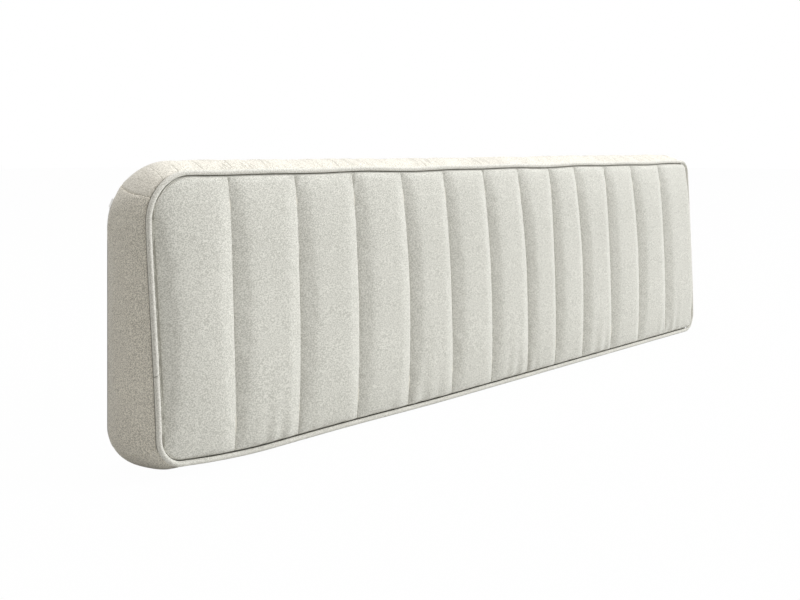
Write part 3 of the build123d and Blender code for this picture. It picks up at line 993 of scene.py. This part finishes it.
def piping_tube(name, full_radius, material):
    """A tube round the front seam that butts against its own end."""
    centres = [on_front(*settled(x, height), 0) for x, height in piping_line()]
    out_way = on_front(0, 0, 1) - on_front(0, 0, 0)
    points = []
    count = len(centres)
    for i, centre in enumerate(centres):
        forward = (centres[min(count - 1, i + 1)] - centres[max(0, i - 1)]).normalized()
        side = forward.cross(out_way).normalized()
        from_end = min(i, count - 1 - i)
        radius = full_radius * JOIN_TAPER[min(3, from_end)]
        radius *= 1 + 0.02 * sin(i * 0.9) * sin(i * 0.23)
        slant = JOIN_SLANT if from_end < 4 else 0
        for j in range(PIPING_SIDES):
            angle = 2 * pi * j / PIPING_SIDES
            reach = side * cos(angle) + out_way * sin(angle)
            points.append(centre + reach * radius + forward * slant * radius * cos(angle))
    faces = tube_faces(count, PIPING_SIDES)
    faces.append(tuple(range(PIPING_SIDES)))
    faces.append(tuple(range(len(points) - PIPING_SIDES, len(points))))
    piece = new_piece(name, points, faces, material)
    recalculate_normals(piece)
    smooth(piece, 60)
    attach(piece, "cushion")
    return piece


def make_piping():
    """The covered piping, and the cord inside it, which settles with it."""
    cover = piping_tube("piping_cover_tube", TIGHT_RADIUS, PIPING_CLOTH)
    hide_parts("piping_cover")
    core = piping_tube("piping_cord_core", CORD_RADIUS, CORD_FIBRE)
    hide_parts("piping_cord")


# Pieces inside the cover

FOAM_CUTS = (-0.91, -0.87, -0.82, -0.77, -0.72, -0.55, -0.35)


def settle_copy(name, suffix, material):
    """A copy of a soft node, settled with the cover, with cuts across so that its foot can bend."""
    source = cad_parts[name]
    piece = source.copy()
    piece.data = source.data.copy()
    piece.name = f"{name}_{suffix}"
    bpy.context.scene.collection.objects.link(piece)
    only(piece)
    bpy.ops.object.mode_set(mode="EDIT")
    bpy.ops.mesh.select_all(action="SELECT")
    bpy.ops.mesh.remove_doubles(threshold=0.00001)
    for x in FOAM_CUTS:
        bpy.ops.mesh.select_all(action="SELECT")
        bpy.ops.mesh.bisect(plane_co=(x, 0, 0), plane_no=(1, 0, 0))
    bpy.ops.object.mode_set(mode="OBJECT")
    for vertex in piece.data.vertices:
        place = vertex.co
        share = min(1, max(0, (BACK - place.y) / (BACK - FRONT)))
        x, height = settled(place.x, place.z - SEAM_BOTTOM, share)
        place.x = x
        place.z = SEAM_BOTTOM + height
    piece.data.materials.clear()
    piece.data.materials.append(material)
    smooth(piece, 30)
    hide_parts(name)
    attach(piece, "cushion")
    return piece


def make_inside():
    slab = settle_copy("foam_core", "slab", FOAM)
    lining = settle_copy("quilt_lining", "cloth", LINING)


# Back panel, zip and loop tape

PANEL_RINGS = (0, 0.0015, 0.005, 0.012, 0.03, 0.07, 0.12, 0.17, 0.215, 0.24)
BACK_CLOTH_THICKNESS = 0.0016
ZIP_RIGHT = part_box("zip_coil_outer")[1][0]
ZIP_EDGE = 0.012
PANEL_STANDS_OUT = 0.0018
SEAM_TURN = 0.0009
TAPE_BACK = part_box("zip_tape_outer")[0][1]
COIL_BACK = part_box("zip_coil_outer")[0][1]
COIL_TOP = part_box("zip_coil_outer")[1][1]


def back_outline(inset):
    """The back seam's outline drawn in by inset."""
    radii = [max(0.004, radius - inset) for radius in BACK_CORNERS]
    return outline_points(
        inset - HALF_LENGTH,
        HALF_LENGTH - inset,
        inset,
        SEAM_HEIGHT - inset,
        radii,
        CROSS_SEAM_ABOVE_BOTTOM[0],
        CROSS_SEAM_BELOW_TOP[0],
    )


def on_back(x, height, y):
    return Vector((x, y, SEAM_BOTTOM + height))


def beside_zip(x, height):
    """Whether the back's edge has the zip there: at the left end and along the bottom."""
    left = x < -HALF_LENGTH + 0.1 and height < ZIP_HIGH + 0.010
    foot = height < 0.1 and x < ZIP_RIGHT + 0.010
    return left or foot


def make_back_panel():
    """The flat back, with its edge turned in beside the zip."""
    points = []
    for inset in PANEL_RINGS:
        drawn_in = back_outline(max(inset, ZIP_EDGE + inset * 0.2))
        y = BACK + PANEL_STANDS_OUT - SEAM_TURN * (1 - smoothstep(0, 0.004, inset))
        for place, zip_place in zip(back_outline(inset), drawn_in):
            points.append(on_back(*(zip_place if beside_zip(*place) else place), y))
    count = len(drawn_in)
    faces = tube_faces(len(PANEL_RINGS), count)
    faces.append(range(len(points) - count, len(points)))
    piece = new_piece("back_panel_cloth", points, faces, BACK_FABRIC)
    recalculate_normals(piece)
    face_back(piece)
    apply_modifier(piece, "SOLIDIFY", thickness=BACK_CLOTH_THICKNESS, offset=OFFSET_INWARDS)
    smooth(piece, 40)
    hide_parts("back_panel")
    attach(piece, "cushion")


def zip_path(inset, pitch, short=0.0, stray=0.0):
    """Even steps along the zip's run, from its top at the left end, down and along the foot."""
    ring = back_outline(inset)
    left_side = ring[2 * BOTTOM_STEPS + SIDE_STEPS + 2 * CORNER_STEPS :]
    high, right = ZIP_HIGH - short, ZIP_RIGHT - short
    run = [p for p in left_side if p[1] < high]
    top = [p for p in left_side if p[1] >= high]
    if top and run:
        near, far = run[0], top[-1]
        share = (high - near[1]) / (far[1] - near[1])
        run = [(mixed((near[0], far[0]), share), high)] + run
    foot = [p for p in ring[: BOTTOM_STEPS + 1] if p[0] < right]
    run += foot + [(right, foot[-1][1])]
    steps = [0.0]
    for a, b in zip(run, run[1:]):
        steps.append(steps[-1] + hypot(b[0] - a[0], b[1] - a[1]))
    count = int(steps[-1] / pitch)
    places, k = [], 0
    for i in range(count + 1):
        reach = steps[-1] * i / count
        while k < len(steps) - 2 and steps[k + 1] < reach:
            k += 1
        share = (reach - steps[k]) / max(1e-9, steps[k + 1] - steps[k])
        a, b = run[k], run[k + 1]
        x, height = mixed((a[0], b[0]), share), mixed((a[1], b[1]), share)
        length = hypot(b[0] - a[0], b[1] - a[1]) or 1
        ahead = ((b[0] - a[0]) / length, (b[1] - a[1]) / length)
        away = stray * at_zip_end(x, height)
        places.append((x + away * ahead[1], height - away * ahead[0], ahead))
    return places


def off_path(step, across, along, y):
    """A point beside one step of a path in the back plane."""
    x, height, (run, climb) = step
    return on_back(x + run * along - climb * across, height + climb * along + run * across, y)


TOOTH_PITCH = 0.0021
TOOTH_RADIUS, TOOTH_LENGTH = 0.0005, 0.0024
TOOTH_SLANT = 0.25
TOOTH_ROWS = ((0.28, -TOOTH_SLANT), (0.72, TOOTH_SLANT))
TEETH_PAST_END = 0.003

# Distances of the tapes' edges from the seam, and of each row of teeth from its tape's edge
OUTER_TAPE, INNER_TAPE = (0.0010, 0.0053), (0.0067, 0.0150)
TEETH_OVER_TAPE = 0.00115


def ribbon(name, path, half_width, y, thickness, material):
    """A flat strip along a path in the back plane."""
    points = []
    for step in path:
        for side, out in ((-1, 0), (-1, 1), (1, 1), (1, 0)):
            points.append(off_path(step, half_width * side, 0, y + thickness * out))
    faces = tube_faces(len(path), 4)
    faces += [(3, 2, 1, 0), range(len(points) - 4, len(points))]
    piece = new_piece(name, points, faces, material)
    recalculate_normals(piece)
    smooth(piece, 30)
    return piece


def tooth_shape():
    """One turn of the coil: a short bar with a rounded head, made once and read back."""
    deselect_all()
    bpy.ops.mesh.primitive_cylinder_add(
        vertices=8, radius=TOOTH_RADIUS, depth=TOOTH_LENGTH, rotation=(0, pi / 2, 0)
    )
    bar = bpy.context.active_object
    bpy.ops.object.transform_apply(location=False, rotation=True, scale=True)
    apply_modifier(bar, "BEVEL", width=0.0002, segments=1)
    points = [v.co.copy() for v in bar.data.vertices]
    faces = [tuple(p.vertices) for p in bar.data.polygons]
    bpy.data.objects.remove(bar)
    return points, faces


def make_teeth(name, inset, phase):
    base_points, base_faces = tooth_shape()
    points, faces = [], []
    for level, slant in TOOTH_ROWS:
        y = mixed((COIL_BACK, COIL_TOP), level)
        for step in zip_path(inset, TOOTH_PITCH, phase - TEETH_PAST_END, ZIP_STRAY):
            faces += [tuple(len(points) + v for v in face) for face in base_faces]
            points += [off_path(step, p.x, p.y * 1.1 + slant * p.x, y + p.z) for p in base_points]
    piece = new_piece(f"{name}_teeth", points, faces, COIL_NYLON)
    smooth(piece, 60)
    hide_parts(name)
    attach(piece, "cushion")


STITCH_LENGTH = 0.0030
STITCH_PITCH = 0.0042
STITCH_HALF_WIDTH = 0.00035
STITCH_PROFILE = ((-0.5, 0.0), (-0.25, 0.0004), (0.25, 0.0004), (0.5, 0.0))


def make_stitches(name, path, y, material):
    """A row of short raised stitches along a path."""
    points, faces = [], []
    for step in path:
        first = len(points)
        faces += [(a, a + 2, a + 3, a + 1) for a in range(first, first + 6, 2)]
        for end, rise in STITCH_PROFILE:
            for across in (-STITCH_HALF_WIDTH, STITCH_HALF_WIDTH):
                points.append(off_path(step, across, end * STITCH_LENGTH, y + rise))
    piece = new_piece(name, points, faces, material)
    recalculate_normals(piece)
    face_back(piece, 1)
    apply_modifier(piece, "SOLIDIFY", thickness=0.0003, offset=OFFSET_INWARDS)
    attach(piece, "cushion")


def make_zip():
    for name, (near, far) in (("zip_tape_outer", OUTER_TAPE), ("zip_tape_inner", INNER_TAPE)):
        path = zip_path((near + far) / 2, 0.006, -0.009)
        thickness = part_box(name)[1][1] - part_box(name)[0][1]
        piece = ribbon(f"{name}_cloth", path, (far - near) / 2, TAPE_BACK, thickness, ZIP_TAPE)
        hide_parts(name)
        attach(piece, "cushion")
    make_teeth("zip_coil_outer", OUTER_TAPE[1] - TEETH_OVER_TAPE, 0.0)
    make_teeth("zip_coil_inner", INNER_TAPE[0] + TEETH_OVER_TAPE, 0.001)
    make_stitches("zip_stitching", zip_path(0.0132, STITCH_PITCH, -0.006), BACK + 0.0019, THREAD)


TAPE_CORNER = 0.004
TAPE_COLUMNS, TAPE_ROWS = 26, 160
LOOP_HEIGHT, LOOP_ROUGHNESS = 0.0005, 0.00025
TAPE_THICKNESS = 0.0014


def make_loop_tape(name):
    """A band of loop tape: a woven edge round a napped middle."""
    low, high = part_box(name)
    width, height = high[0] - low[0], high[2] - low[2]
    points = []
    for column in range(TAPE_COLUMNS + 1):
        across = column / TAPE_COLUMNS
        for row in range(TAPE_ROWS + 1):
            up = row / TAPE_ROWS
            edge = min(across, 1 - across) * width
            end = min(up, 1 - up) * height
            nap = smoothstep(0.002, 0.004, min(edge, end))
            round_cut = max(0, TAPE_CORNER - end)
            cut = TAPE_CORNER - sqrt(max(0, TAPE_CORNER**2 - round_cut**2))
            x = low[0] + cut + (width - 2 * cut) * across
            rough = LOOP_ROUGHNESS * sin(row * 2.4 + column * 5.1) * sin(row * 0.9 - column * 2.3)
            y = high[1] - 0.0009 + nap * (LOOP_HEIGHT + rough)
            points.append(Vector((x, y, low[2] + height * up)))
    piece = new_piece(f"{name}_cloth", points, grid_faces(TAPE_COLUMNS + 1, TAPE_ROWS + 1), LOOP_TAPE)
    face_back(piece)
    apply_modifier(piece, "SOLIDIFY", thickness=TAPE_THICKNESS, offset=OFFSET_INWARDS)
    smooth(piece, 60)
    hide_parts(name)
    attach(piece, "cushion")


def dress(name, material):
    """Gives a carried-over node its finish."""
    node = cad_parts[name]
    node.data.materials.clear()
    node.data.materials.append(material)


# Camera, light and floor

# What the world lights the part with; seen directly it is white
WORLD_LIGHT = 0.38
WORLD_TINT = (1.0, 0.975, 0.92)
FLOOR_GLOW_SHARE = 0.985


def make_camera():
    data = bpy.data.cameras.new("camera")
    data.sensor_width = SENSOR
    data.lens = FOCAL_PIXELS / PHOTO_WIDTH * SENSOR
    data.shift_y = (HORIZON_PIXEL - PHOTO_HEIGHT / 2) / PHOTO_WIDTH
    camera = add_object("camera", data)
    camera.location = CAMERA_PLACE
    camera.rotation_euler = (pi / 2, 0, -radians(CAMERA_YAW))
    bpy.context.scene.camera = camera


def area_light(name, place, aim, size, power, tint):
    data = bpy.data.lights.new(name, "AREA")
    data.size = size
    data.energy = power
    data.color = tint
    lamp = add_object(name, data)
    lamp.location = place
    lamp.rotation_euler = (Vector(aim) - Vector(place)).to_track_quat("-Z", "Y").to_euler()


def seen_directly(tree):
    """1 for a ray from the camera, or one mirrored or passed on by a surface, and 0 for light."""
    path = tree.nodes.new("ShaderNodeLightPath")
    seen = path.outputs["Is Camera Ray"]
    for kind in ("Glossy", "Transmission"):
        seen = math_node(tree, "MAXIMUM", seen, path.outputs[f"Is {kind} Ray"])
    return seen


def make_light():
    area_light("key", (11.5, -8.3, 7.9), (0, 0, 0.25), 4.6, 2000, (0.97, 0.99, 1.0))
    area_light("above", (-0.3, 0.3, 5.0), (0, 0, 0.3), 2.5, 135, (1.0, 1.0, 1.0))
    world = bpy.data.worlds.new("studio")
    world.use_nodes = True
    bpy.context.scene.world = world
    tree = world.node_tree
    background = tree.nodes["Background"]
    seen = seen_directly(tree)
    strength = math_node(tree, "MULTIPLY", seen, 1 - WORLD_LIGHT)
    strength = math_node(tree, "ADD", strength, WORLD_LIGHT)
    link(tree, mixed_colour(tree, seen, WORLD_TINT, (1, 1, 1)), background.inputs["Color"])
    link(tree, strength, background.inputs["Strength"])


def make_floor():
    """A pale floor that shows white in front of the camera and keeps a soft shadow."""
    deselect_all()
    bpy.ops.mesh.primitive_plane_add(size=60, location=(0, 0, 0))
    floor = bpy.context.active_object
    floor.name = "floor"
    material, tree, shader = material_tree("pale floor")
    set_inputs(shader, {"Base Color": (0.62, 0.62, 0.61, 1), "Roughness": 0.9})
    glow = tree.nodes.new("ShaderNodeEmission")
    glow.inputs["Strength"].default_value = 1.0
    mix = tree.nodes.new("ShaderNodeMixShader")
    seen = math_node(tree, "MULTIPLY", seen_directly(tree), FLOOR_GLOW_SHARE)
    link(tree, seen, mix.inputs["Fac"])
    link(tree, shader.outputs[0], mix.inputs[1])
    link(tree, glow.outputs[0], mix.inputs[2])
    link(tree, mix.outputs[0], tree.nodes["Material Output"].inputs["Surface"])
    floor.data.materials.append(material)


make_camera()
make_light()
make_floor()
make_channels()
make_boxing()
make_piping()
make_inside()
make_back_panel()
make_zip()
for name in sorted(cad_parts):
    if name.startswith("loop_tape_"):
        make_loop_tape(name)
dress("stiffening_board", PLYWOOD)
for name in ("zip_stop_top", "zip_stop_end"):
    dress(name, COIL_NYLON)
for name in ("zip_slider", "zip_pull"):
    dress(name, ZIP_METAL)

bpy.context.scene.view_settings.view_transform = "Standard"
